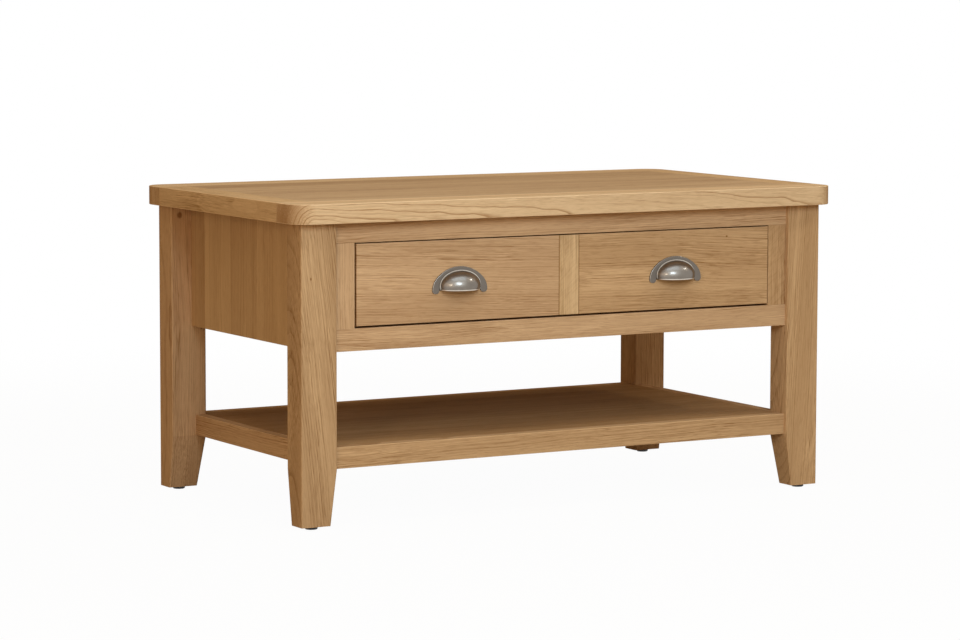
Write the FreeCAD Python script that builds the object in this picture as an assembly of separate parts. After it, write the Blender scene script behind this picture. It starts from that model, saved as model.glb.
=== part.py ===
import FreeCAD, Part
import math
import os

# Oak coffee table with one wide drawer and a low shelf, in millimetres.
# Origin on the floor under the middle of the table: +X to the right, +Y to the back, +Z up.

# Overall size
table_length = 894.0
table_depth = 500.0
table_height = 450.0

# Top slab: a centre panel inside four solid lippings
top_thickness = 27.5
top_corner_radius = 30.0
top_edge_round = 1.2
top_side_overhang = 17.0
top_front_overhang = 19.0
long_lipping_width = 59.0
short_lipping_width = 46.0

# Legs: outer faces upright, both inner faces tapered below the shelf
leg_width = 55.0
leg_depth = 44.0
leg_side_taper = 10.0
leg_front_taper = 12.0
leg_edge_round = 2.0

# Floor glides, each on a pin
glide_diameter = 18.0
glide_height = 4.5
glide_edge = 1.0
glide_pin_diameter = 2.6
glide_pin_in_glide = 3.0
glide_pin_in_leg = 15.0

# Carcass: front frame, side panels and back panel
frame_recess = 6.5
rail_thickness = 20.0
apron_height = 178.5
drawer_rail_height = 31.0
drawer_rail_thickness = 34.0
top_rail_height = 29.0
stile_width = 31.0
side_panel_setback = 5.0
side_panel_thickness = 18.0
back_panel_thickness = 18.0
board_edge_round = 0.8

# Shelf
shelf_bottom = 82.0
shelf_rail_height = 30.0
shelf_side_rail_thickness = 17.0
shelf_panel_thickness = 18.0
shelf_cleat_width = 18.0

# Cleats that hold the top down
top_cleat_width = 25.0
top_cleat_height = 25.0
cleat_end_gap = 10.0

# Drawer front and the gaps round it
drawer_gap_left = 2.4
drawer_gap_right = 1.0
drawer_gap_bottom = 3.0
drawer_gap_top = 1.7
drawer_front_thickness = 20.0
drawer_front_round = 1.0
centre_strip_width = 33.0

# Drawer box
drawer_box_lift = 5.0
drawer_box_height = 100.0
drawer_board_thickness = 12.0
drawer_back_room = 38.5
drawer_bottom_thickness = 6.0
drawer_bottom_rise = 10.0
drawer_groove_depth = 6.0
tail_count = 4
tail_end_share = 0.72
tail_root_share = 0.5

# Drawer slides, with a ball cage between the two members
slide_room = 13.0
slide_setback = 0.5
slide_rear_margin = 23.5
slide_rise = 40.0
slide_steel = 1.0
case_member_height = 35.0
case_member_flange = 11.0
drawer_member_height = 24.0
ball_clearance = 0.15
cage_length = 80.0
cage_thickness = 0.8
cage_clearance = 0.25
cage_lip = 3.0
balls_per_row = 6
stop_room = 5.0
stop_clearance = 0.5
stop_tab_thickness = 1.2
stop_tab_height = 8.0
batten_height = 66.0

# Cup handles
handle_width = 88.0
handle_height = 37.6
handle_side_band = 10.6
handle_top_band = 4.7
handle_shoulder_share = 0.74
handle_tip_drop = 4.7
handle_rim_drop = 6.0
handle_projection = 24.0
handle_dome_sink = 5.0
handle_wall = 2.0
handle_flange_thickness = 2.2
handle_flange_round = 0.9
handle_bead_width = 0.8
handle_bead_height = 0.7
handle_lip_height = 1.7
handle_lip_proud = 0.6
handle_lift = 1.0
handle_boss_diameter = 7.0
handle_boss_rise = 6.0
handle_boss_length = 7.0
handle_boss_inset = 7.0

# Dowels
dowel_diameter = 6.0
dowel_length = 40.0
dowel_chamfer = 0.8
dowel_end_gap = 1.0

# Wood screws: countersunk for wood to wood, thin-headed for the slides
screw_diameter = 4.0
screw_head_diameter = 8.0
screw_bite = 10.0
top_screw_bite = 13.0
front_screw_bite = 13.0
front_screw_inset = 14.0
front_screw_edge = 12.0
slide_screw_diameter = 3.5
slide_screw_head_diameter = 7.0
slide_screw_head_height = 1.0
slide_screw_in_batten = 16.0
slide_screw_in_drawer = 9.0

# Handle screws: pan-headed machine screws from inside the drawer
handle_screw_diameter = 4.0
handle_screw_head_diameter = 8.5
handle_screw_head_height = 2.6
handle_screw_bite = 5.0

# Shares of a head's diameter, its own depth or a pitch
recess_length_share = 0.6
recess_width_share = 0.16
recess_depth_share = 0.5
screw_tip_share = 0.8
rail_dowel_share = 0.24
side_dowel_shares = (0.25, 0.5, 0.75)
back_dowel_shares = (0.125, 0.375, 0.625, 0.875)
up_screw_shares = (-0.4, 0.0, 0.4)
side_screw_shares = (-0.25, 0.25)
batten_screw_shares = (-0.4, 0.4)
slide_screw_shares = (0.08, 0.5, 0.92)

# Clearances and small allowances
hole_clearance = 0.1
groove_clearance = 0.1
overrun = 5.0
along_share = 0.95
flat_share = 0.0001
full_turn = 360.0

Vector = FreeCAD.Vector
origin = Vector(0, 0, 0)
right = Vector(1, 0, 0)
back = Vector(0, 1, 0)
up = Vector(0, 0, 1)

# Planes worked out from the sizes above; left and front lie on the negative side
top_underside = table_height - top_thickness
leg_outer_x = table_length / 2 - top_side_overhang
leg_outer_y = table_depth / 2 - top_front_overhang
leg_inner_x = leg_outer_x - leg_width
leg_inner_y = leg_outer_y - leg_depth
frame_face_y = leg_outer_y - frame_recess
frame_back_y = frame_face_y - rail_thickness
back_panel_inner_y = frame_face_y - back_panel_thickness
apron_bottom = top_underside - apron_height
opening_bottom = apron_bottom + drawer_rail_height
opening_top = top_underside - top_rail_height
opening_half = leg_inner_x - stile_width
side_panel_inner_x = leg_inner_x + side_panel_setback
side_panel_outer_x = side_panel_inner_x + side_panel_thickness
shelf_top = shelf_bottom + shelf_rail_height
shelf_panel_bottom = shelf_top - shelf_panel_thickness
shelf_side_outer_x = leg_inner_x + shelf_side_rail_thickness
top_cleat_bottom = top_underside - top_cleat_height

drawer_left_x = drawer_gap_left - opening_half
drawer_right_x = opening_half - drawer_gap_right
drawer_front_bottom = opening_bottom + drawer_gap_bottom
drawer_front_top = opening_top - drawer_gap_top
drawer_front_back_y = frame_face_y - drawer_front_thickness
strip_left_x = (drawer_left_x + drawer_right_x - centre_strip_width) / 2
strip_right_x = strip_left_x + centre_strip_width
handle_bead_x = handle_width / 2 - handle_side_band
handle_boss_x = handle_bead_x - handle_boss_inset
box_outer_x = opening_half - slide_room
box_inner_x = box_outer_x - drawer_board_thickness
box_bottom = opening_bottom + drawer_box_lift
box_top = box_bottom + drawer_box_height
box_front_inner_y = drawer_front_back_y - drawer_board_thickness
box_back_y = back_panel_inner_y - drawer_back_room
box_back_inner_y = box_back_y - drawer_board_thickness
drawer_floor = box_bottom + drawer_bottom_rise
drawer_floor_top = drawer_floor + drawer_bottom_thickness

slide_front_y = slide_setback - leg_inner_y
slide_back_y = leg_inner_y - slide_rear_margin
slide_z = box_bottom + slide_rise
drawer_travel = slide_back_y - slide_front_y - cage_length - 2 * stop_room
case_inner_half = case_member_height / 2 - slide_steel
drawer_member_half = drawer_member_height / 2
ball_room = case_inner_half - drawer_member_half
ball_diameter = ball_room - 2 * ball_clearance
race_half = (case_inner_half + drawer_member_half) / 2
lip_gap = cage_thickness / 2 + cage_clearance
case_tip_x = case_member_flange - opening_half
case_lip_x = case_tip_x - slide_steel
drawer_lip_x = case_lip_x - ball_room
drawer_tip_x = drawer_lip_x - slide_steel
ball_x = (case_lip_x + drawer_lip_x) / 2

pieces = {}
groups = {}


def block(x0, x1, y0, y1, z0, z1):
    """Box between two corners, in either order."""
    corner = Vector(min(x0, x1), min(y0, y1), min(z0, z1))
    return Part.makeBox(abs(x1 - x0), abs(y1 - y0), abs(z1 - z0), corner)


def edges_along(solid, axis):
    """Straight edges of a solid that run along an axis, or nearly so."""
    found = []
    for edge in solid.Edges:
        run = edge.Vertexes[-1].Point - edge.Vertexes[0].Point
        if run.Length and abs(run.dot(axis)) > along_share * run.Length:
            found.append(edge)
    return found


def edges_on_plane(solid, normal, distance):
    """Edges of a solid that lie on the plane at a distance along its normal."""
    slack = flat_share * solid.BoundBox.DiagonalLength
    found = []
    for edge in solid.Edges:
        ends = [vertex.Point.dot(normal) for vertex in edge.Vertexes]
        ends.append(edge.CenterOfMass.dot(normal))
        if max(abs(end - distance) for end in ends) < slack:
            found.append(edge)
    return found


def board(x0, x1, y0, y1, z0, z1, grain):
    """Board whose four edges along the grain are eased."""
    solid = block(x0, x1, y0, y1, z0, z1)
    return solid.makeFillet(board_edge_round, edges_along(solid, grain))


def prism(points, travel):
    """Straight prism on a flat outline."""
    return Part.Face(Part.makePolygon(points + points[:1])).extrude(travel)


def turned(outline):
    """Solid turned about +Z from (radius, height) points that start and end on the axis."""
    points = [Vector(radius, 0, height) for radius, height in outline]
    return Part.Face(Part.makePolygon(points + points[:1])).revolve(origin, up, full_turn)


def placed(solid, point, towards):
    """Copy of a solid made along +Z, set at a point and turned to a direction."""
    copy = solid.copy()
    copy.Placement = FreeCAD.Placement(point, FreeCAD.Rotation(up, towards))
    return copy


def flipped(shape, axis):
    """Mirror image across the table's middle plane."""
    return shape.mirror(origin, axis)


def left_and_right(name, right_shape):
    """Store a piece made on the right and its mirror image on the left."""
    pieces["right_" + name] = right_shape
    pieces["left_" + name] = flipped(right_shape, right)


def fasten(group, fastener, hole, places, names):
    """Set a fastener at each point and direction, and bore its hole in the named pieces."""
    holes = [placed(hole, point, towards) for point, towards in places]
    fasteners = [placed(fastener, point, towards) for point, towards in places]
    groups.setdefault(group, []).extend(fasteners)
    for name in names:
        pieces[name] = pieces[name].cut(holes)


def cross_recess(head_diameter, depth, head_top):
    """Cross-shaped driver recess, cut down from the top of a head."""
    half_length = recess_length_share * head_diameter / 2
    half_width = recess_width_share * head_diameter / 2
    bottom = head_top + recess_depth_share * depth
    one = block(-half_length, half_length, -half_width, half_width, head_top - overrun, bottom)
    other = block(-half_width, half_width, -half_length, half_length, head_top - overrun, bottom)
    return one.fuse(other)


def countersunk_screw(length):
    """Wood screw with its flat head at the origin and its tip along +Z, and the hole it needs."""
    head = screw_head_diameter / 2
    shank = screw_diameter / 2
    tip = screw_tip_share * screw_diameter
    outline = [(0, 0), (head, 0), (shank, head - shank), (shank, length - tip), (0, length)]
    screw = turned(outline).cut(cross_recess(screw_head_diameter, head - shank, 0))
    wide = head + hole_clearance
    bore = shank + hole_clearance
    deep = length + hole_clearance
    hole = turned([(0, -overrun), (wide, -overrun), (wide, 0), (bore, wide - bore), (bore, deep), (0, deep)])
    return screw, hole


def headed_screw(shank_diameter, head_diameter, head_height, length):
    """Screw whose head stands on the surface at the origin, tip along +Z, and the hole it needs."""
    head = head_diameter / 2
    shank = shank_diameter / 2
    tip = screw_tip_share * shank
    outline = [(0, -head_height), (head, -head_height), (head, 0), (shank, 0)]
    outline += [(shank, length - tip), (shank - tip / 2, length), (0, length)]
    screw = turned(outline).cut(cross_recess(head_diameter, head_height, -head_height))
    bore = shank + hole_clearance
    deep = length + hole_clearance
    hole = turned([(0, -overrun), (bore, -overrun), (bore, deep), (0, deep)])
    return screw, hole


def dowel():
    """Dowel centred on the origin along Z, and the hole it needs."""
    radius = dowel_diameter / 2
    half = dowel_length / 2
    thin = radius - dowel_chamfer
    straight = half - dowel_chamfer
    outline = [(0, -half), (thin, -half), (radius, -straight), (radius, straight), (thin, half), (0, half)]
    bore = radius + hole_clearance
    deep = half + dowel_end_gap
    return turned(outline), turned([(0, -deep), (bore, -deep), (bore, deep), (0, deep)])


def upright_arc(centre_x, centre_z, radius, first, last):
    """Arc in the XZ plane between two angles from +X."""
    points = [Vector(centre_x + radius * math.cos(angle), 0, centre_z + radius * math.sin(angle))
              for angle in (first, (first + last) / 2, last)]
    return Part.Arc(*points).toShape()


def ellipsoid(half_width, depth, height):
    """Ellipsoid about the origin, its poles turned away from its front upper quarter."""
    scale = FreeCAD.Matrix()
    scale.scale(half_width, depth, height)
    return Part.makeSphere(1, origin, back + up).transformGeometry(scale)


# Top slab, cut into its panel and lippings
def make_top():
    half_length = table_length / 2
    half_depth = table_depth / 2
    slab = block(-half_length, half_length, -half_depth, half_depth, top_underside, table_height)
    slab = slab.makeFillet(top_corner_radius, edges_along(slab, up))
    rim = edges_on_plane(slab, up, table_height) + edges_on_plane(slab, up, top_underside)
    slab = slab.makeFillet(top_edge_round, rim)
    panel_x = half_length - short_lipping_width
    panel_y = half_depth - long_lipping_width
    far_x = half_length + overrun
    far_y = half_depth + overrun
    low = top_underside - overrun
    high = table_height + overrun
    pieces["top_panel"] = slab.common(block(-panel_x, panel_x, -panel_y, panel_y, low, high))
    pieces["top_back_lipping"] = slab.common(block(-far_x, far_x, panel_y, far_y, low, high))
    pieces["top_front_lipping"] = flipped(pieces["top_back_lipping"], back)
    pieces["top_right_lipping"] = slab.common(block(panel_x, far_x, -panel_y, panel_y, low, high))
    pieces["top_left_lipping"] = flipped(pieces["top_right_lipping"], right)


# Legs with their glides
def make_legs():
    def side_outline(outer, inner, taper):
        return [(outer, glide_height), (outer, top_underside), (inner, top_underside),
                (inner, shelf_bottom), (inner + taper, glide_height)]

    seen_from_front = [Vector(x, 0, z) for x, z in side_outline(leg_outer_x, leg_inner_x, leg_side_taper)]
    seen_from_side = [Vector(0, y, z) for y, z in side_outline(leg_outer_y, leg_inner_y, leg_front_taper)]
    leg = prism(seen_from_front, back * table_depth).common(prism(seen_from_side, right * table_length))
    leg = leg.makeFillet(leg_edge_round, edges_along(leg, up))
    pieces["leg_back_right"] = leg
    pieces["leg_back_left"] = flipped(leg, right)
    pieces["leg_front_right"] = flipped(leg, back)
    pieces["leg_front_left"] = flipped(pieces["leg_front_right"], right)

    foot_x = (leg_outer_x + leg_inner_x + leg_side_taper) / 2
    foot_y = (leg_outer_y + leg_inner_y + leg_front_taper) / 2
    glide_radius = glide_diameter / 2
    pin_radius = glide_pin_diameter / 2
    pin_foot = glide_height - glide_pin_in_glide
    pin_head = glide_height + glide_pin_in_leg
    pin = turned([(0, pin_foot), (pin_radius, pin_foot), (pin_radius, pin_head - pin_radius), (0, pin_head)])
    bore = pin_radius + hole_clearance
    hole = turned([(0, pin_foot), (bore, pin_foot), (bore, pin_head), (0, pin_head)])
    glide = turned([(0, 0), (glide_radius - glide_edge, 0), (glide_radius, glide_edge),
                    (glide_radius, glide_height), (0, glide_height)])
    legs = ["leg_back_right", "leg_back_left", "leg_front_right", "leg_front_left"]
    places = [(Vector(x, y, 0), up) for x in (-foot_x, foot_x) for y in (-foot_y, foot_y)]
    groups["floor_glides"] = [placed(glide.cut(hole), point, towards) for point, towards in places]
    fasten("glide_pins", pin, hole, places, legs)


# Front frame, side panels and back panel, dowelled to the legs
def make_carcass():
    rail_x = leg_inner_x
    pieces["front_top_rail"] = board(-rail_x, rail_x, -frame_face_y, -frame_back_y,
                                     opening_top, top_underside, right)
    pieces["front_drawer_rail"] = board(-rail_x, rail_x, -frame_face_y, drawer_rail_thickness - frame_face_y,
                                        apron_bottom, opening_bottom, right)
    stile = board(opening_half, leg_inner_x, -frame_face_y, -frame_back_y, opening_bottom, opening_top, up)
    pieces["front_right_stile"] = stile
    pieces["front_left_stile"] = flipped(stile, right)
    left_and_right("side_panel", board(side_panel_inner_x, side_panel_outer_x, -leg_inner_y, leg_inner_y,
                                       apron_bottom, top_underside, back))
    pieces["back_panel"] = board(-rail_x, rail_x, back_panel_inner_y, frame_face_y,
                                 apron_bottom, top_underside, right)

    peg, bore = dowel()
    frame_y = -(frame_face_y + frame_back_y) / 2
    rails = {"front_top_rail": (opening_top, top_rail_height),
             "front_drawer_rail": (apron_bottom, drawer_rail_height)}
    for rail, (bottom, height) in rails.items():
        middle = bottom + height / 2
        offset = rail_dowel_share * height
        places = [(Vector(x, frame_y, z), right) for x in (-leg_inner_x, leg_inner_x)
                  for z in (middle - offset, middle + offset)]
        fasten("front_frame_dowels", peg, bore, places, [rail, "leg_front_left", "leg_front_right"])
    stile_x = (opening_half + leg_inner_x) / 2
    for rail, joint_z in (("front_top_rail", opening_top), ("front_drawer_rail", opening_bottom)):
        places = [(Vector(x, frame_y, joint_z), up) for x in (-stile_x, stile_x)]
        fasten("front_frame_dowels", peg, bore, places, [rail, "front_left_stile", "front_right_stile"])

    panel_x = (side_panel_inner_x + side_panel_outer_x) / 2
    panel_y = (back_panel_inner_y + frame_face_y) / 2
    side_places = [(Vector(x, y, apron_bottom + share * apron_height), back) for x in (-panel_x, panel_x)
                   for y in (-leg_inner_y, leg_inner_y) for share in side_dowel_shares]
    back_places = [(Vector(x, panel_y, apron_bottom + share * apron_height), right)
                   for x in (-leg_inner_x, leg_inner_x) for share in back_dowel_shares]
    back_legs = ["leg_back_left", "leg_back_right"]
    front_legs = ["leg_front_left", "leg_front_right"]
    sides = ["left_side_panel", "right_side_panel"]
    fasten("panel_dowels", peg, bore, side_places, sides + front_legs + back_legs)
    fasten("panel_dowels", peg, bore, back_places, ["back_panel"] + back_legs)


# Shelf: four rails round a flush panel, on cleats
def make_shelf():
    rail = board(-leg_inner_x, leg_inner_x, frame_back_y, frame_face_y, shelf_bottom, shelf_top, right)
    pieces["shelf_back_rail"] = rail
    pieces["shelf_front_rail"] = flipped(rail, back)
    side_rail = board(leg_inner_x, shelf_side_outer_x, -leg_inner_y, leg_inner_y,
                      shelf_bottom, shelf_top, back)
    pieces["shelf_right_rail"] = side_rail
    pieces["shelf_left_rail"] = flipped(side_rail, right)
    pieces["shelf_panel"] = block(-leg_inner_x, leg_inner_x, -frame_back_y, frame_back_y,
                                  shelf_panel_bottom, shelf_top)
    cleat_x = leg_inner_x - cleat_end_gap
    cleat_inner_y = frame_back_y - shelf_cleat_width
    cleat = block(-cleat_x, cleat_x, cleat_inner_y, frame_back_y, shelf_bottom, shelf_panel_bottom)
    pieces["shelf_back_cleat"] = cleat
    pieces["shelf_front_cleat"] = flipped(cleat, back)

    peg, bore = dowel()
    rail_y = (frame_face_y + frame_back_y) / 2
    side_x = (leg_inner_x + shelf_side_outer_x) / 2
    middle = shelf_bottom + shelf_rail_height / 2
    offset = rail_dowel_share * shelf_rail_height
    legs = ["leg_back_right", "leg_back_left", "leg_front_right", "leg_front_left"]
    long_places = [(Vector(x, y, z), right) for x in (-leg_inner_x, leg_inner_x) for y in (-rail_y, rail_y)
                   for z in (middle - offset, middle + offset)]
    fasten("shelf_dowels", peg, bore, long_places, ["shelf_front_rail", "shelf_back_rail"] + legs)
    short_places = [(Vector(x, y, middle), back) for x in (-side_x, side_x)
                    for y in (-leg_inner_y, leg_inner_y)]
    fasten("shelf_dowels", peg, bore, short_places, ["shelf_left_rail", "shelf_right_rail"] + legs)

    cleats = ["shelf_front_cleat", "shelf_back_cleat"]
    cleat_height = shelf_panel_bottom - shelf_bottom
    screw, hole = countersunk_screw(cleat_height + screw_bite)
    cleat_y = (cleat_inner_y + frame_back_y) / 2
    up_places = [(Vector(2 * share * cleat_x, y, shelf_bottom), up) for y in (-cleat_y, cleat_y)
                 for share in up_screw_shares]
    fasten("shelf_cleat_screws", screw, hole, up_places, cleats + ["shelf_panel"])
    screw, hole = countersunk_screw(shelf_cleat_width + screw_bite)
    cleat_z = (shelf_bottom + shelf_panel_bottom) / 2
    side_places = [(Vector(2 * share * cleat_x, sign * cleat_inner_y, cleat_z), back * sign)
                   for sign in (-1, 1) for share in side_screw_shares]
    fasten("shelf_cleat_screws", screw, hole, side_places, cleats + ["shelf_front_rail", "shelf_back_rail"])


# Cleats under the top, screwed up into it and sideways into the panels
def make_top_fixings():
    cleat_inner_x = side_panel_inner_x - top_cleat_width
    cleat_end_y = leg_inner_y - cleat_end_gap
    left_and_right("top_cleat", block(cleat_inner_x, side_panel_inner_x, -cleat_end_y, cleat_end_y,
                                      top_cleat_bottom, top_underside))
    back_cleat_x = opening_half - cleat_end_gap
    back_cleat_y = back_panel_inner_y - top_cleat_width
    pieces["back_top_cleat"] = block(-back_cleat_x, back_cleat_x, back_cleat_y, back_panel_inner_y,
                                     top_cleat_bottom, top_underside)

    cleats = ["left_top_cleat", "right_top_cleat", "back_top_cleat"]
    tops = ["top_panel", "top_front_lipping", "top_back_lipping", "top_left_lipping", "top_right_lipping"]
    screw, hole = countersunk_screw(top_cleat_height + top_screw_bite)
    side_x = side_panel_inner_x - top_cleat_width / 2
    places = [(Vector(x, 2 * share * cleat_end_y, top_cleat_bottom), up) for x in (-side_x, side_x)
              for share in up_screw_shares]
    back_y = back_panel_inner_y - top_cleat_width / 2
    places += [(Vector(2 * share * back_cleat_x, back_y, top_cleat_bottom), up) for share in up_screw_shares]
    fasten("top_fixing_screws", screw, hole, places, cleats + tops)
    screw, hole = countersunk_screw(top_rail_height + top_screw_bite)
    frame_y = -(frame_face_y + frame_back_y) / 2
    places = [(Vector(2 * share * back_cleat_x, frame_y, opening_top), up) for share in up_screw_shares]
    fasten("top_fixing_screws", screw, hole, places, tops + ["front_top_rail"])

    screw, hole = countersunk_screw(top_cleat_width + screw_bite)
    middle = top_cleat_bottom + top_cleat_height / 2
    places = [(Vector(sign * cleat_inner_x, 2 * share * cleat_end_y, middle), right * sign)
              for sign in (-1, 1) for share in side_screw_shares]
    places += [(Vector(2 * share * back_cleat_x, back_cleat_y, middle), back) for share in side_screw_shares]
    panels = ["left_side_panel", "right_side_panel", "back_panel"]
    fasten("top_cleat_screws", screw, hole, places, cleats + panels)


# Dovetailed drawer box with its bottom in grooves
def make_drawer_box():
    pitch = drawer_box_height / tail_count
    end_half = tail_end_share * pitch / 2
    root_half = tail_root_share * pitch / 2

    def tails(end_y, root_y):
        made = []
        for index in range(tail_count):
            middle = box_bottom + (index + 1 / 2) * pitch
            outline = [Vector(box_inner_x, end_y, middle - end_half),
                       Vector(box_inner_x, end_y, middle + end_half),
                       Vector(box_inner_x, root_y, middle + root_half),
                       Vector(box_inner_x, root_y, middle - root_half)]
            made.append(prism(outline, right * drawer_board_thickness))
        return made

    all_tails = tails(-drawer_front_back_y, -box_front_inner_y) + tails(box_back_y, box_back_inner_y)
    side = block(box_inner_x, box_outer_x, -box_front_inner_y, box_back_inner_y, box_bottom, box_top)
    side = side.fuse(all_tails)
    sockets = all_tails + [flipped(tail, right) for tail in all_tails]
    front = block(-box_outer_x, box_outer_x, -drawer_front_back_y, -box_front_inner_y, box_bottom, box_top)
    rear = block(-box_outer_x, box_outer_x, box_back_inner_y, box_back_y, box_bottom, box_top)

    groove_x = box_inner_x + drawer_groove_depth
    groove_front_y = -box_front_inner_y - drawer_groove_depth
    groove_back_y = box_back_inner_y + drawer_groove_depth
    gap = groove_clearance
    groove = block(-groove_x, groove_x, groove_front_y, groove_back_y,
                   drawer_floor - gap, drawer_floor_top + gap)
    pieces["drawer_right_side"] = side.cut(groove)
    pieces["drawer_left_side"] = flipped(pieces["drawer_right_side"], right)
    pieces["drawer_box_front"] = front.cut(sockets + [groove])
    pieces["drawer_back"] = rear.cut(sockets + [groove])
    pieces["drawer_bottom"] = block(gap - groove_x, groove_x - gap, groove_front_y + gap, groove_back_y - gap,
                                    drawer_floor, drawer_floor_top)


# Drawer front in three pieces, screwed on from inside the box
def make_drawer_front():
    outer_x = box_inner_x - front_screw_inset
    left_columns = (-outer_x, strip_left_x - front_screw_inset)
    right_columns = (strip_right_x + front_screw_inset, outer_x)
    made = {"drawer_front_left_panel": (drawer_left_x, strip_left_x, left_columns),
            "drawer_front_centre_strip": (strip_left_x, strip_right_x, ((strip_left_x + strip_right_x) / 2,)),
            "drawer_front_right_panel": (strip_right_x, drawer_right_x, right_columns)}
    screw, hole = countersunk_screw(drawer_board_thickness + front_screw_bite)
    rows = (drawer_floor_top + front_screw_edge, box_top - front_screw_edge)
    for name, (start, end, columns) in made.items():
        solid = block(start, end, -frame_face_y, -drawer_front_back_y, drawer_front_bottom, drawer_front_top)
        face_edges = edges_on_plane(solid, back, -frame_face_y)
        pieces[name] = solid.makeFillet(drawer_front_round, face_edges)
        places = [(Vector(x, -box_front_inner_y, z), -back) for x in columns for z in rows]
        fasten("drawer_front_screws", screw, hole, places, [name, "drawer_box_front"])


# Cup handle: an arched flange with rounded tips, round a dome that is open below
def cup_handle():
    edge_x = handle_width / 2
    arch_height = handle_height - handle_tip_drop
    bead_rise = arch_height - handle_top_band - handle_rim_drop
    wall = handle_wall
    reach = 2 * handle_width

    def dome(grow, front_y, top_z):
        """Dome grown all round, as far as a plane in front and a plane above."""
        depth = handle_projection + handle_dome_sink + grow
        base_share = math.sqrt(1 - (handle_dome_sink / depth) ** 2)
        half_width = (handle_bead_x - handle_bead_width + grow) / base_share
        rise = (bead_rise - handle_bead_width + grow) / base_share
        middle = Vector(0, handle_dome_sink, handle_rim_drop)
        whole = placed(ellipsoid(half_width, depth, rise), middle, up)
        return whole.common(block(-reach, reach, front_y, 0, 0, top_z))

    # The flange's arch has two tight shoulders and a flatter crown
    shoulder = handle_shoulder_share * arch_height
    shoulder_x = edge_x - shoulder
    crown = (edge_x ** 2 + arch_height ** 2 - 2 * edge_x * shoulder) / (2 * (arch_height - shoulder))
    crown_z = arch_height - crown
    lean = math.atan2(-crown_z, shoulder_x)
    outline = [upright_arc(shoulder_x, 0, shoulder, 0, lean),
               upright_arc(0, crown_z, crown, lean, math.pi - lean),
               upright_arc(-shoulder_x, 0, shoulder, math.pi - lean, math.pi)]

    # Each tip hangs below the rim, and the flange ends inside the dome's wall
    tip_x = handle_bead_x - handle_bead_width / 2
    chord_x = tip_x - wall
    drop = handle_tip_drop
    quarter = math.pi / 2
    for sign in (-1, 1):
        outside = sign * (edge_x - drop)
        inside = sign * (tip_x + drop)
        outline.append(upright_arc(outside, 0, drop, -quarter, (sign - 1) * quarter))
        outline.append(Part.makeLine(Vector(outside, 0, -drop), Vector(inside, 0, -drop)))
        outline.append(upright_arc(inside, 0, drop, -quarter, (-sign - 1) * quarter))
        outline.append(upright_arc(sign * chord_x, 0, wall, quarter, (1 - sign) * quarter))
    outline.append(Part.makeLine(Vector(-chord_x, 0, wall), Vector(chord_x, 0, wall)))
    flange = Part.Face(Part.Wire(Part.__sortEdges__(outline))).extrude(-back * handle_flange_thickness)
    flange = flange.makeFillet(handle_flange_round, edges_on_plane(flange, back, -handle_flange_thickness))

    # Bead where the dome meets the flange, and a lip along the lower rim
    outer = dome(0, -reach, reach)
    bead = dome(handle_bead_width, -handle_flange_thickness - handle_bead_height, reach)
    lip = dome(handle_lip_proud, -reach, handle_lip_height)
    hollow = dome(-wall, -reach, reach)
    boss = Part.makeCylinder(handle_boss_diameter / 2, handle_boss_length)
    bosses = [placed(boss, Vector(x, 0, handle_boss_rise), -back).common(outer)
              for x in (-handle_boss_x, handle_boss_x)]
    shell = outer.fuse([flange, bead, lip]).cut(hollow)
    return shell.fuse(bosses).removeSplitter()


# Handles, each in the middle of its half of the drawer front, a little above centre
def make_handles():
    handle = cup_handle()
    middle_z = (drawer_front_bottom + drawer_front_top) / 2 + handle_lift
    rim_z = middle_z - handle_height / 2 + handle_tip_drop
    reach = drawer_board_thickness + drawer_front_thickness + handle_screw_bite
    screw, hole = headed_screw(handle_screw_diameter, handle_screw_head_diameter,
                               handle_screw_head_height, reach)
    spans = {"left": (drawer_left_x, strip_left_x), "right": (strip_right_x, drawer_right_x)}
    for side, (start, end) in spans.items():
        middle = (start + end) / 2
        name = side + "_cup_handle"
        pieces[name] = placed(handle, Vector(middle, -frame_face_y, rim_z), up)
        places = [(Vector(middle + x, -box_front_inner_y, rim_z + handle_boss_rise), -back)
                  for x in (-handle_boss_x, handle_boss_x)]
        front = "drawer_front_" + side + "_panel"
        fasten("handle_screws", screw, hole, places, [name, front, "drawer_box_front"])


def channel(web_x, tip_x, half, lip_low, lip_high):
    """Rolled channel along Y: a web, a flange above and below, and a lip on each flange's tip."""
    steel = math.copysign(slide_steel, tip_x - web_x)
    inside = half - slide_steel
    solid = block(web_x, tip_x, slide_front_y, slide_back_y, slide_z - half, slide_z + half)
    solid = solid.cut(block(web_x + steel, tip_x + steel, slide_front_y, slide_back_y,
                            slide_z - inside, slide_z + inside))
    lips = [block(tip_x - steel, tip_x, slide_front_y, slide_back_y,
                  slide_z + sign * lip_low, slide_z + sign * lip_high) for sign in (-1, 1)]
    return solid.fuse(lips).removeSplitter()


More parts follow.
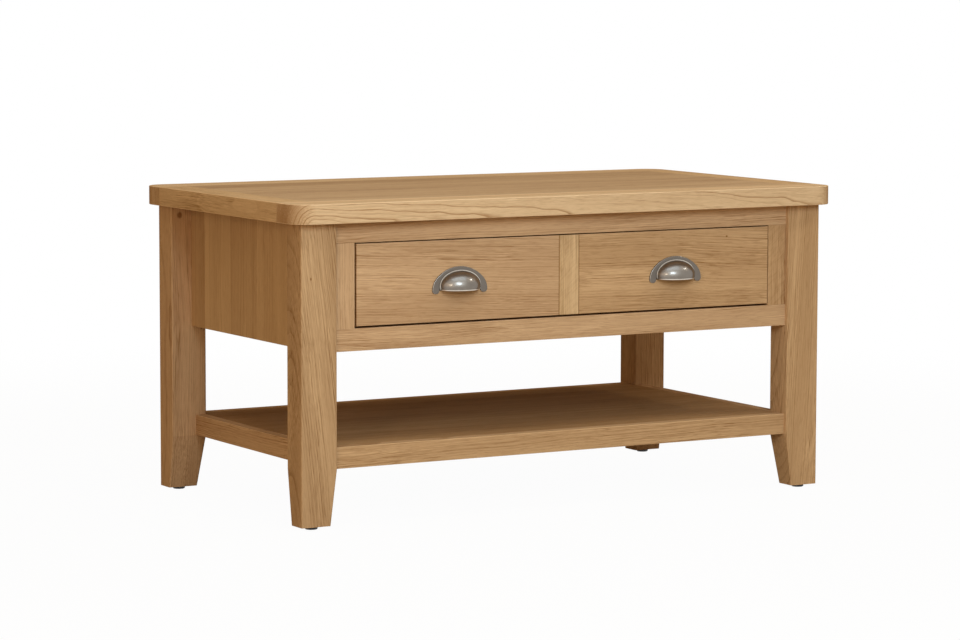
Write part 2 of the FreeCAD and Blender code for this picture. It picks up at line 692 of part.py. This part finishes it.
# Drawer slides, made on the left and mirrored
def make_slides():
    case_web_x = slide_steel - opening_half
    case = channel(-opening_half, case_tip_x, case_member_height / 2,
                   race_half + lip_gap, case_member_height / 2)
    member = channel(-box_outer_x, drawer_tip_x, drawer_member_half,
                     drawer_member_half - slide_steel, race_half - lip_gap)

    # Ball cage in the middle of the slide's length, between the screw heads and the drawer member
    cage_middle = (slide_front_y + slide_back_y) / 2
    cage_front = cage_middle - cage_length / 2
    cage_back = cage_middle + cage_length / 2
    web_x = (case_web_x + slide_screw_head_height + drawer_tip_x - cage_thickness) / 2
    leg_tip_x = ball_x + cage_lip
    outside = race_half + cage_thickness / 2
    inside = race_half - cage_thickness / 2
    cage = block(web_x, leg_tip_x, cage_front, cage_back, slide_z - outside, slide_z + outside)
    cage = cage.cut(block(web_x + cage_thickness, leg_tip_x + overrun, cage_front, cage_back,
                          slide_z - inside, slide_z + inside))
    pitch = cage_length / balls_per_row
    ball_radius = ball_diameter / 2
    balls = []
    pockets = []
    for index in range(balls_per_row):
        ball_y = cage_front + (index + 1 / 2) * pitch
        for ball_z in (slide_z - race_half, slide_z + race_half):
            balls.append(Part.makeSphere(ball_radius, Vector(ball_x, ball_y, ball_z)))
            pockets.append(Part.makeCylinder(ball_radius + hole_clearance, 2 * cage_thickness,
                                             Vector(ball_x, ball_y, ball_z - cage_thickness), up))
    cage = cage.cut(pockets)

    # Tab on the case member that stops the cage, and with it the drawer, at full travel
    stop_y = slide_front_y + stop_room - stop_clearance
    stop = block(case_web_x, web_x + cage_thickness, stop_y - stop_tab_thickness, stop_y,
                 slide_z - stop_tab_height / 2, slide_z + stop_tab_height / 2)
    made = {"slide_case_member": case.fuse(stop), "slide_drawer_member": member, "ball_cage": cage}
    for name, solid in made.items():
        pieces["left_" + name] = solid
        pieces["right_" + name] = flipped(solid, right)
    groups["left_slide_balls"] = balls
    groups["right_slide_balls"] = [flipped(ball, right) for ball in balls]


# Battens that bring the slides out to the drawer opening, and all the slides' screws
def make_slide_fixings():
    batten_half = batten_height / 2
    left_and_right("runner_batten", block(opening_half, side_panel_inner_x, -leg_inner_y, leg_inner_y,
                                          slide_z - batten_half, slide_z + batten_half))
    battens = ["left_runner_batten", "right_runner_batten"]
    screw, hole = countersunk_screw(side_panel_inner_x - opening_half + screw_bite)
    offset_z = (batten_half + case_member_height / 2) / 2
    places = [(Vector(sign * opening_half, 2 * share * leg_inner_y, slide_z + z), right * sign)
              for sign in (-1, 1) for share in batten_screw_shares for z in (-offset_z, offset_z)]
    fasten("batten_screws", screw, hole, places, battens + ["left_side_panel", "right_side_panel"])

    rows = [slide_front_y + share * (slide_back_y - slide_front_y) for share in slide_screw_shares]
    screw, hole = headed_screw(slide_screw_diameter, slide_screw_head_diameter, slide_screw_head_height,
                               slide_steel + slide_screw_in_batten)
    seat = opening_half - slide_steel
    places = [(Vector(sign * seat, y, slide_z), right * sign) for sign in (-1, 1) for y in rows]
    cases = ["left_slide_case_member", "right_slide_case_member"]
    fasten("slide_case_screws", screw, hole, places, battens + cases)
    screw, hole = headed_screw(slide_screw_diameter, slide_screw_head_diameter, slide_screw_head_height,
                               slide_steel + slide_screw_in_drawer)
    seat = box_outer_x + slide_steel
    places = [(Vector(sign * seat, y, slide_z), right * -sign) for sign in (-1, 1) for y in rows]
    members = ["left_slide_drawer_member", "right_slide_drawer_member"]
    fasten("slide_drawer_screws", screw, hole, places, members + ["drawer_left_side", "drawer_right_side"])


make_top()
make_legs()
make_carcass()
make_shelf()
make_top_fixings()
make_drawer_box()
make_drawer_front()
make_handles()
make_slides()
make_slide_fixings()

os.makedirs("parts", exist_ok=True)
for name, solid in pieces.items():
    solid.exportStep("parts/" + name + ".step")
for name, solids in groups.items():
    Part.Compound(solids).exportStep("parts/" + name + ".step")
print(len(pieces) + len(groups), "nodes; drawer travel", drawer_travel, "mm")
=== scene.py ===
import random
from math import radians

import bpy
from mathutils import Matrix, Vector


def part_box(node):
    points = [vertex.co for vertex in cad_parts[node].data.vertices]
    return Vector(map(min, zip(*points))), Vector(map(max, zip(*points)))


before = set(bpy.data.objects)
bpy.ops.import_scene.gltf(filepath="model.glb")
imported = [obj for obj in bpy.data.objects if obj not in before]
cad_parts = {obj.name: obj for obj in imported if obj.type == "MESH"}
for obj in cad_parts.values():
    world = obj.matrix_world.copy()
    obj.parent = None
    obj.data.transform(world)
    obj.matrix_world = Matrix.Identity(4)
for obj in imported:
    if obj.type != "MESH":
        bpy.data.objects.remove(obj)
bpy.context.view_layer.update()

# Oak coffee table with one wide drawer: finishes, light and camera, in metres and degrees.

# Camera, standing to the left of the table's front
camera_place = (-2.5569, -4.4154, 0.7710)
camera_turn = -29.916
camera_tilt = -5.83
camera_roll = 0.12
camera_lens_mm = 129.8

# Lamps, all aimed at the table: wide ones low in front, overhead and on the left, and two that glint in metal
lamp_target = (0.0, 0.0, 0.30)
sky_blue = (0.66, 0.83, 1.0)
cream = (1.0, 0.97, 0.9)
honey = (1.0, 0.86, 0.68)
amber = (1.0, 0.66, 0.36)
lamps = {
    "key_lamp": {"place": (-0.5, -2.1, 1.2), "size": (0.9, 0.8), "power": 28.3, "colour": sky_blue},
    "top_lamp": {"place": (-0.1, -0.9, 2.5), "size": (2.2, 1.4), "power": 19.0, "colour": sky_blue},
    "left_lamp": {"place": (-2.4, -0.8, 0.9), "size": (1.6, 1.2), "power": 2.8, "colour": amber},
    "left_glint": {"place": (-2.0, -1.7, 0.85), "size": (0.42, 0.42), "power": 7.6, "colour": honey},
    "right_glint": {"place": (2.1, -1.1, 2.3), "size": (0.5, 0.16), "power": 9.0, "colour": cream},
}

# World: a warm fill that grows overhead
fill_colour = (1.0, 0.75, 0.45)
fill_low_strength = 0.14
fill_high_strength = 0.56

# Floor: pale, white to the eye, keeping a soft shadow round the table
floor_radius = 30.0
floor_colour = (0.56, 0.48, 0.38)
floor_white_share = 0.97
floor_fade_start = 0.9
floor_fade_end = 2.2
floor_sides = 64
floor_roughness = 0.9
floor_gloss = 0.1
white = (1.0, 1.0, 1.0, 1.0)

# Woods: two colours each, as sRGB bytes, for the plain wood and for its pores and ring lines
wood_colours = {
    "oak": ((210, 170, 127), (138, 95, 55)),
    "deep_oak": ((200, 161, 117), (124, 84, 45)),
    # Painted shade: darker, warmer oak for boards to the right and low down, where the light falls off
    "shaded_oak": ((209, 168, 122), (134, 92, 50)),
    # Painted shadow: the shelf panel's oak, dark as in the shade under the drawer box
    "shaded_shelf_oak": ((174, 134, 90), (116, 78, 42)),
    "pale_oak": ((230, 195, 150), (160, 117, 75)),
    "straw_oak": ((219, 181, 134), (154, 114, 70)),
    "grey_oak": ((204, 169, 128), (146, 109, 72)),
    "oak_veneer": ((204, 166, 121), (146, 105, 65)),
    "drawer_wood": ((222, 194, 150), (186, 148, 100)),
    "plywood": ((226, 202, 164), (196, 164, 118)),
    "softwood": ((228, 200, 150), (192, 148, 92)),
    "beech": ((222, 186, 148), (186, 142, 104)),
}

# Boards picked from paler, greyer or deeper oak, and from shaded oak, whose darker colour is painted shade
picked_colours = {
    "leg_front_left": "deep_oak",
    # Painted shade on the boards to the right and low down, and painted shadow on the shelf panel
    "leg_front_right": "shaded_oak",
    "front_right_stile": "shaded_oak",
    "drawer_front_right_panel": "shaded_oak",
    "shelf_front_rail": "shaded_oak",
    "shelf_panel": "shaded_shelf_oak",
    "top_panel": "grey_oak",
    "top_front_lipping": "pale_oak",
    "top_back_lipping": "pale_oak",
    "top_left_lipping": "straw_oak",
    "top_right_lipping": "straw_oak",
    "drawer_front_centre_strip": "straw_oak",
}

# Boards whose grain doesn't run along their longest side
upright_grain = ("left_side_panel", "right_side_panel")

# Veneered panels, laid in staves
stave_widths = {
    "top_panel": 0.095,
    "shelf_panel": 0.095,
    "left_side_panel": 0.086,
    "right_side_panel": 0.086,
    "back_panel": 0.06,
}

# Boards cut flat across the rings, with the pith's place from their middle, and boards cut along the rays
bold_piths = {
    "top_front_lipping": (0.0, -0.075, -0.020),
    "top_back_lipping": (0.0, 0.075, -0.020),
}
fleck_boards = ("drawer_front_centre_strip", "front_right_stile")
# The board with grooves beside it, where shade is painted
grooved_board = "drawer_front_centre_strip"

# Smooth veneers, whose streaks and dashes are fainter
quiet_boards = ("left_side_panel", "right_side_panel")
quiet_share = 0.5

# Boards whose grain leans across them, as a rise along the grain
grain_leans = {
    "drawer_front_left_panel": 0.05,
    "drawer_front_right_panel": 0.045,
    "leg_front_left": 0.12,
    "leg_front_right": -0.07,
}

# Small knots and a shake: where they lie and how far they reach along each axis
knots = {
    "leg_back_left": [((-0.4165, 0.187, 0.408), (0.0055, 0.006, 0.0065)),
                      ((-0.3805, 0.187, 0.266), (0.0022, 0.004, 0.014)),
                      ((-0.3825, 0.187, 0.243), (0.0020, 0.004, 0.006))],
    "leg_front_left": [((-0.4150, -0.231, 0.347), (0.0014, 0.003, 0.003))],
    "drawer_front_right_panel": [((0.2700, -0.2245, 0.380), (0.0022, 0.003, 0.0018))],
}

# Figure of a board: width and place of the rings, and how the grain leans and wanders
ring_width = 0.0036
bold_ring_width = 0.0024
ring_onset = 0.05
ring_end = 0.5
ring_weight_range = (0.1, 0.9)
pith_near = 0.05
pith_far = 0.13
pith_depth_share = 0.6
bold_lean = 0.03
grain_lean = 0.015
drift_size = 0.011
bold_drift_size = 0.005
drift_along = 2.6
drift_across = 7.0
ripple_size = 0.0010
bold_ripple_size = 0.0026
ripple_along = 15.0
ripple_across = 30.0

# Marks of a board: how fine they are along and across the grain, and the noise levels they start and end at
noise_mean = 0.5
soft_detail = 1.0
streak_detail = 3.0
streak_along = 6.0
streak_across = 780.0
dash_along = 32.0
dash_across = 1000.0
dash_range = (0.50, 0.70)
dash_ring_full = 0.5
dash_between_rings = 0.55
pore_along = 60.0
pore_across = 1500.0
pore_range = (0.52, 0.68)
broad_along = 1.6
broad_across = 26.0
patch_along = 4.0
patch_across = 38.0
patch_range = (0.35, 0.65)
fleck_along = 55.0
fleck_across = 420.0
fleck_range = (0.45, 0.65)
fleck_turn = 42.0
# Painted shade: how wide it lies in the grooves beside the centre strip
groove_shade_width = 0.0013
knot_core = 0.35
# Painted highlight: the sums of the normal's parts over which the arrises turn paler
arris_range = (1.15, 1.35)

# Weights of the marks in a board's tone, from its light colour at 0 to its dark one at 1
tone_start_share = 0.27
ring_share = 0.30
bold_ring_share = 0.54
streak_share = 1.45
bold_streak_share = 0.75
dash_share = 0.45
bold_dash_share = 0.25
pore_share = 0.16
broad_share = 0.65
patch_low_share = 0.25
stave_share = 0.24
fleck_share = 0.10
end_grain_share = 0.42
# Painted highlight along the arrises, and painted shade in the grooves beside the centre strip
arris_highlight_share = 0.45
groove_shade_share = 1.0
knot_share = 0.75

# Surface of a board: its gloss, and the relief of its pores and streaks
wood_roughness = (0.80, 0.92)
wood_gloss = 0.02
streak_height_share = 0.6
wood_bump_depth = 0.0002
wood_bump_strength = 0.5

# Pewter of the handles: colours as sRGB bytes, and weights of the bright parts, of which the shoulder's sheen
# and the rim's highlight are painted
pewter_dark = (90, 79, 67)
pewter_bright = (210, 199, 184)
pewter_edge_tint = (120, 112, 104)
pewter_start_share = 0.07
dome_share = 0.09
shoulder_sheen_share = 0.11
rim_highlight_share = 0.3

# Burnished dome and painted sheen and highlights of a handle, by depth from its back and height from its lip:
# where each starts and ends
dome_depth = (0.003, 0.018)
shoulder_rise = (0.0030, 0.0036)
shoulder_fall = (0.008, 0.020)
bead_rise = (0.0024, 0.0027)
bead_fall = (0.0030, 0.0034)
rim_rise = (0.0011, 0.0014)
rim_fall = (0.0019, 0.0022)
lip_depth = (0.0035, 0.006)
lip_height = (0.0058, 0.0066)

# Surface of the pewter: patina clouds, satin metal under a lacquer, and a fine grit
cloud_scale = 90.0
cloud_detail = 4.0
cloud_wear = (0.85, 1.1)
pewter_roughness = (0.36, 0.44)
lacquer_roughness = 0.14
grit_scale = 900.0
grit_bump_depth = 0.00005
grit_bump_strength = 0.3

# Plain finishes: two colours as sRGB bytes that a fine mottle mixes
mottle_range = (0.3, 0.7)
plain_finishes = {
    "zinc_steel": {"colours": ((176, 178, 180), (214, 216, 218)), "scale": 220.0, "detail": 3.0,
                   "metallic": 1.0, "roughness": (0.28, 0.42), "bump": None},
    "black_plastic": {"colours": ((18, 18, 18), (38, 37, 36)), "scale": 1500.0, "detail": 2.0,
                      "metallic": 0.0, "roughness": (0.45, 0.6), "bump": (0.00008, 0.4)},
}

axes = {"X": 0, "Y": 1, "Z": 2}


def linear(colour):
    """Shader colour from sRGB bytes."""
    shares = [byte / 255 for byte in colour]
    return tuple(((s + 0.055) / 1.055) ** 2.4 if s > 0.04045 else s / 12.92 for s in shares) + (1.0,)


class Graph:
    """A node tree, with short calls for the nodes it is made of."""

    def __init__(self, tree):
        self.nodes = tree.nodes
        self.links = tree.links

    def put(self, socket, value):
        """Link a socket to another, or give it a value of its own."""
        if isinstance(value, bpy.types.NodeSocket):
            self.links.new(value, socket)
        else:
            socket.default_value = value

    def add(self, kind, inputs, output=0, **settings):
        """One output of a new node."""
        node = self.nodes.new("ShaderNode" + kind)
        for name, value in settings.items():
            setattr(node, name, value)
        for name, value in inputs.items():
            self.put(node.inputs[name], value)
        return node.outputs[output]

    def place(self, output="Object"):
        return self.add("TexCoord", {}, output)

    def sum(self, *values, operation="ADD"):
        total = values[0]
        for value in values[1:]:
            total = self.add("Math", {0: total, 1: value}, operation=operation)
        return total

    def times(self, *values):
        return self.sum(*values, operation="MULTIPLY")

    def vector(self, operation, first, second):
        return self.add("VectorMath", {0: first, 1: second}, operation=operation)

    def length(self, vector):
        return self.add("VectorMath", {0: vector}, "Value", operation="LENGTH")

    def part(self, vector, axis):
        """One of a vector's three numbers."""
        return self.add("SeparateXYZ", {0: vector}, "XYZ"[axis])

    def noise(self, place, scale, detail=2.0, output="Fac"):
        """Noise at a place, which a scale for each axis makes finer."""
        scaled = self.vector("MULTIPLY", place, scale)
        return self.add("TexNoise", {"Vector": scaled, "Scale": 1.0, "Detail": detail}, output)

    def span(self, value, low, high, start=0.0, end=1.0):
        """A smooth change from start to end, as a value goes from low to high."""
        inputs = {"Value": value, "From Min": low, "From Max": high, "To Min": start, "To Max": end}
        return self.add("MapRange", inputs, interpolation_type="SMOOTHSTEP")

    def band(self, value, rise, fall):
        """1 between a rise and a fall, 0 outside them."""
        return self.times(self.span(value, *rise), self.span(value, *fall, 1.0, 0.0))

    def blend(self, factor, first, second):
        """A mix of two colours."""
        node = self.nodes.new("ShaderNodeMix")
        node.data_type = "RGBA"
        colours = [socket for socket in node.inputs if socket.type == "RGBA"]
        self.put(node.inputs[0], factor)
        self.put(colours[0], first)
        self.put(colours[1], second)
        return [socket for socket in node.outputs if socket.type == "RGBA"][0]

    def seen(self):
        """1 for rays that show the background itself, 0 for those that light the object."""
        total = 0.0
        for name in ("Is Camera Ray", "Is Glossy Ray", "Is Transmission Ray"):
            total = self.sum(total, self.add("LightPath", {}, name), operation="MAXIMUM")
        return total


class Finish(Graph):
    """One material."""

    def __init__(self, name):
        self.material = bpy.data.materials.new(name)
        self.material.use_nodes = True
        super().__init__(self.material.node_tree)
        self.shader = self.nodes["Principled BSDF"]

    def surface(self, **inputs):
        for name, value in inputs.items():
            self.put(self.shader.inputs[name.replace("_", " ")], value)

    def bump(self, height, distance, strength):
        inputs = {"Height": height, "Distance": distance, "Strength": strength}
        self.surface(Normal=self.add("Bump", inputs))


def grain_axis(name):
    """Axis that a board's grain runs along."""
    if name in upright_grain:
        return axes["Z"]
    low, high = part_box(name)
    sides = [high[axis] - low[axis] for axis in axes.values()]
    return sides.index(max(sides))


def wood(name, colours):
    """Solid wood, cut from its own place in a log: rings, streaks, pores and broad changes of tone."""
    draw = random.Random(name)
    grain = grain_axis(name)
    low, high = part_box(name)
    middle = (Vector(low) + Vector(high)) / 2
    sides = Vector(high) - Vector(low)
    across = [axis for axis in axes.values() if axis != grain]
    wide, thin = sorted(across, key=lambda axis: -sides[axis])
    shares = []

    def stretch(along_scale, across_scale):
        return tuple(along_scale if axis == grain else across_scale for axis in axes.values())

    def wander(along_scale, across_scale, size):
        swing = finish.noise(seeded, stretch(along_scale, across_scale), output="Color")
        swing = finish.vector("SUBTRACT", swing, (noise_mean, noise_mean, noise_mean))
        return finish.vector("MULTIPLY", swing, stretch(0.0, 2 * size))

    finish = Finish("wood_" + name)
    place = finish.place()
    seed = tuple(draw.uniform(-1, 1) for axis in axes)
    seeded = finish.vector("ADD", place, seed)

    # Staves are cut from different places, and differ in tone
    if name in stave_widths:
        row = finish.part(place, wide)
        row = finish.sum(finish.times(row, 1 / stave_widths[name]), draw.random())
        row = finish.add("Math", {0: row}, operation="FLOOR")
        chance = finish.add("TexWhiteNoise", {"W": row}, "Color", noise_dimensions="1D")
        moves = [1.0, 1.0, 1.0]
        moves[thin] = 0.0
        seeded = finish.vector("ADD", seeded, finish.vector("MULTIPLY", chance, tuple(moves)))
        pick = finish.part(chance, axes["X"])
        shares.append(finish.times(finish.sum(pick, -noise_mean), stave_share))

    # The grain leans a little across the board, wanders along it, and ripples
    along = finish.part(place, grain)
    along = finish.add("CombineXYZ", {0: along, 1: along, 2: along})
    bold = name in bold_piths
    lean = [0.0, 0.0, 0.0]
    lean[wide] = grain_leans.get(name, draw.uniform(-grain_lean, grain_lean))
    bent = finish.vector("ADD", seeded, finish.vector("MULTIPLY", along, tuple(lean)))
    drift = bold_drift_size if bold else drift_size
    bent = finish.vector("ADD", bent, wander(drift_along, drift_across, drift))
    ripple = bold_ripple_size if bold else ripple_size
    bent = finish.vector("ADD", bent, wander(ripple_along, ripple_across, ripple))

    # Growth rings about a pith: near the face of a bold board, and leaning, or past the edge of any other
    pith = [0.0, 0.0, 0.0]
    pith[wide] = draw.choice((-1, 1)) * (sides[wide] / 2 + draw.uniform(pith_near, pith_far))
    pith[thin] = draw.uniform(-pith_depth_share, pith_depth_share) * sides[thin]
    offset = Vector(seed) + middle + Vector(bold_piths.get(name, pith))
    radius = finish.vector("SUBTRACT", bent, tuple(offset))
    if bold:
        radius = finish.vector("ADD", radius, finish.vector("MULTIPLY", along, (0.0, bold_lean, 0.0)))
    radius = finish.length(finish.vector("MULTIPLY", radius, stretch(0.0, 1.0)))
    count = finish.times(radius, 1 / (bold_ring_width if bold else ring_width))
    phase = finish.add("Math", {0: count}, operation="FRACT")
    index = finish.add("Math", {0: count}, operation="FLOOR")
    weight = finish.add("TexWhiteNoise", {"W": index}, "Value", noise_dimensions="1D")
    weight = finish.span(weight, *ring_weight_range)
    rings = finish.times(finish.band(phase, (0.0, ring_onset), (ring_onset, ring_end)), weight)
    shares.append(finish.times(rings, bold_ring_share if bold else ring_share))

    # Streaks, dashes and pores follow the grain, strong in some patches, and dashes gather along the rings
    patches = finish.noise(bent, stretch(patch_along, patch_across), soft_detail)
    loud = quiet_share if name in quiet_boards else 1.0
    patches = finish.span(patches, *patch_range, patch_low_share * loud, loud)
    streaks = finish.noise(bent, stretch(streak_along, streak_across), streak_detail)
    streak = bold_streak_share if bold else streak_share
    shares.append(finish.times(finish.sum(streaks, -noise_mean), patches, streak))
    dashes = finish.noise(bent, stretch(dash_along, dash_across), soft_detail)
    gathered = finish.span(rings, 0.0, dash_ring_full, dash_between_rings, 1.0)
    dashes = finish.times(finish.span(dashes, *dash_range), gathered)
    shares.append(finish.times(dashes, patches, bold_dash_share if bold else dash_share))
    pores = finish.noise(bent, stretch(pore_along, pore_across), soft_detail)
    pores = finish.span(pores, *pore_range)
    shares.append(finish.times(pores, pore_share))
    broad = finish.noise(bent, stretch(broad_along, broad_across), soft_detail)
    shares.append(finish.times(finish.sum(broad, -noise_mean), broad_share))

    # Flecks cross the grain at a slant
    if name in fleck_boards:
        turned = finish.add("VectorRotate", {"Vector": seeded, "Angle": radians(fleck_turn)},
                            rotation_type="XYZ"[thin] + "_AXIS")
        scales = [fleck_across, fleck_across, fleck_across]
        scales[wide] = fleck_along
        flecks = finish.span(finish.noise(turned, tuple(scales), soft_detail), *fleck_range)
        shares.append(finish.times(flecks, fleck_share))

    # Painted shade in the grooves beside the centre strip: darker towards the strip's two long edges
    if name == grooved_board:
        beside = finish.sum(finish.part(place, wide), -middle[wide])
        beside = finish.add("Math", {0: beside}, operation="ABSOLUTE")
        edge = sides[wide] / 2
        shares.append(finish.times(finish.span(beside, edge - groove_shade_width, edge), groove_shade_share))

    # Knots
    for knot, reach in knots.get(name, ()):
        away = finish.vector("DIVIDE", finish.vector("SUBTRACT", place, knot), reach)
        spot = finish.span(finish.length(away), knot_core, 1.0, 1.0, 0.0)
        shares.append(finish.times(spot, knot_share))

    # End grain drinks more of the finish
    facing = finish.length(finish.vector("MULTIPLY", finish.place("Normal"), stretch(1.0, 0.0)))
    shares.append(finish.times(facing, end_grain_share))

    # Painted highlight: upper and lower arrises are made paler, as where rounded edges catch the light
    level = finish.add("VectorMath", {0: finish.place("Normal")}, operation="ABSOLUTE")
    upward = finish.part(level, axes["Z"])
    sideways = finish.length(finish.vector("MULTIPLY", level, (1.0, 1.0, 0.0)))
    wear_and_highlight = finish.span(finish.sum(upward, sideways), *arris_range)
    shares.append(finish.times(wear_and_highlight, -arris_highlight_share))

    # Colour, gloss and relief
    tone = finish.add("Clamp", {"Value": finish.sum(tone_start_share, *shares)})
    light, dark = wood_colours[colours]
    finish.surface(Base_Color=finish.blend(tone, linear(light), linear(dark)),
                   Roughness=finish.span(tone, 0.0, 1.0, *wood_roughness),
                   Specular_IOR_Level=wood_gloss)
    relief = finish.sum(finish.times(pores, -1.0), finish.times(streaks, streak_height_share))
    finish.bump(relief, wood_bump_depth, wood_bump_strength)
    return finish.material


def pewter():
    """Antique pewter: dark where the patina stays, bright where hands and polishing reach, with a painted
    sheen on the shoulder and painted highlights on the bead, lip and flange rim.
    """
    finish = Finish("pewter")
    place = finish.place()
    low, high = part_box("left_cup_handle")
    depth = finish.sum(finish.times(finish.part(place, axes["Y"]), -1.0), high[axes["Y"]])
    height = finish.sum(finish.part(place, axes["Z"]), -low[axes["Z"]])
    cloud = finish.noise(place, (cloud_scale, cloud_scale, cloud_scale), cloud_detail)

    # Bright parts: the burnished dome, a painted sheen on the shoulder, and painted highlights on the bead,
    # lip and flange rim
    dome = finish.times(finish.span(depth, *dome_depth), dome_share)
    shoulder_sheen = finish.times(finish.band(depth, shoulder_rise, shoulder_fall), shoulder_sheen_share)
    bead_highlight = finish.band(depth, bead_rise, bead_fall)
    lip_highlight = finish.times(finish.span(height, *lip_height, 1.0, 0.0), finish.span(depth, *lip_depth))
    rim_highlight = finish.times(finish.band(depth, rim_rise, rim_fall), rim_highlight_share)
    marks = finish.sum(dome, shoulder_sheen, bead_highlight, lip_highlight, rim_highlight, pewter_start_share)
    wear_and_highlight = finish.times(finish.add("Clamp", {"Value": marks}), finish.span(cloud, *mottle_range, *cloud_wear))

    # Colour, gloss and relief
    finish.surface(Base_Color=finish.blend(wear_and_highlight, linear(pewter_dark), linear(pewter_bright)), Metallic=1.0,
                   Roughness=finish.span(cloud, *mottle_range, *pewter_roughness),
                   Specular_Tint=linear(pewter_edge_tint), Coat_Weight=1.0,
                   Coat_Roughness=lacquer_roughness)
    grit = finish.noise(place, (grit_scale, grit_scale, grit_scale))
    finish.bump(grit, grit_bump_depth, grit_bump_strength)
    return finish.material


def mottled(name, colours, scale, detail, metallic, roughness, bump):
    """A plain finish with a fine mottle: bright zinc plating, or moulded plastic."""
    finish = Finish(name)
    mottle = finish.noise(finish.place(), (scale, scale, scale), detail)
    dark, pale = colours
    finish.surface(Base_Color=finish.blend(mottle, linear(dark), linear(pale)), Metallic=metallic,
                   Roughness=finish.span(mottle, *mottle_range, *roughness))
    if bump:
        finish.bump(mottle, *bump)
    return finish.material


def dress_nodes():
    """Every node gets its finish: each board its own cut of wood, the rest one material a slot."""
    shared = {"pewter": pewter()}
    for name, settings in plain_finishes.items():
        shared[name] = mottled(name, **settings)
    for name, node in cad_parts.items():
        slot = node.data.materials[0].name
        node.data.materials[0] = shared.get(slot) or wood(name, picked_colours.get(name, slot))


def make_camera():
    """The camera, turned about the upright, tilted and rolled."""
    data = bpy.data.cameras.new("camera")
    data.lens = camera_lens_mm
    camera = bpy.data.objects.new("camera", data)
    turn = Matrix.Rotation(radians(camera_turn), 4, "Z")
    tilt = Matrix.Rotation(radians(90 + camera_tilt), 4, "X")
    roll = Matrix.Rotation(radians(camera_roll), 4, "Z")
    camera.matrix_world = Matrix.Translation(camera_place) @ turn @ tilt @ roll
    bpy.context.collection.objects.link(camera)
    bpy.context.scene.camera = camera


def make_lamp(name, place, size, power, colour):
    """A soft rectangular lamp, aimed at the table."""
    data = bpy.data.lights.new(name, "AREA")
    data.shape = "RECTANGLE"
    data.size, data.size_y = size
    data.energy = power
    data.color = colour
    lamp = bpy.data.objects.new(name, data)
    lamp.location = place
    lamp.rotation_euler = (Vector(lamp_target) - Vector(place)).to_track_quat("-Z", "Y").to_euler()
    bpy.context.collection.objects.link(lamp)


def make_world():
    """A warm fill for the object, and white for the eye."""
    world = bpy.data.worlds.new("studio")
    bpy.context.scene.world = world
    world.use_nodes = True
    graph = Graph(world.node_tree)
    direction = graph.place("Generated")
    rise = graph.part(direction, axes["Z"])
    strength = graph.span(rise, 0.0, 1.0, fill_low_strength, fill_high_strength)
    fill = graph.add("Background", {"Color": fill_colour + (1.0,), "Strength": strength})
    backdrop = graph.add("Background", {"Color": white})
    shown = graph.add("MixShader", {0: graph.seen(), 1: fill, 2: backdrop})
    graph.put(graph.nodes["World Output"].inputs["Surface"], shown)


def make_floor():
    """A round floor that keeps the table's shadow and fades to white."""
    bpy.ops.mesh.primitive_circle_add(vertices=floor_sides, radius=floor_radius, fill_type="NGON")
    floor = bpy.context.object
    floor.name = "floor"
    finish = Finish("floor")
    finish.surface(Base_Color=floor_colour + (1.0,), Roughness=floor_roughness,
                   Specular_IOR_Level=floor_gloss)
    distance = finish.length(finish.place())
    far = finish.span(distance, floor_fade_start, floor_fade_end, floor_white_share, 1.0)
    factor = finish.times(far, finish.seen())
    glow = finish.add("Emission", {"Color": white, "Strength": 1.0})
    mix = finish.add("MixShader", {0: factor, 1: finish.shader.outputs[0], 2: glow})
    finish.put(finish.nodes["Material Output"].inputs["Surface"], mix)
    floor.data.materials.append(finish.material)


dress_nodes()
make_camera()
for name, lamp in lamps.items():
    make_lamp(name, **lamp)
make_world()
make_floor()
bpy.context.scene.view_settings.view_transform = "Standard"
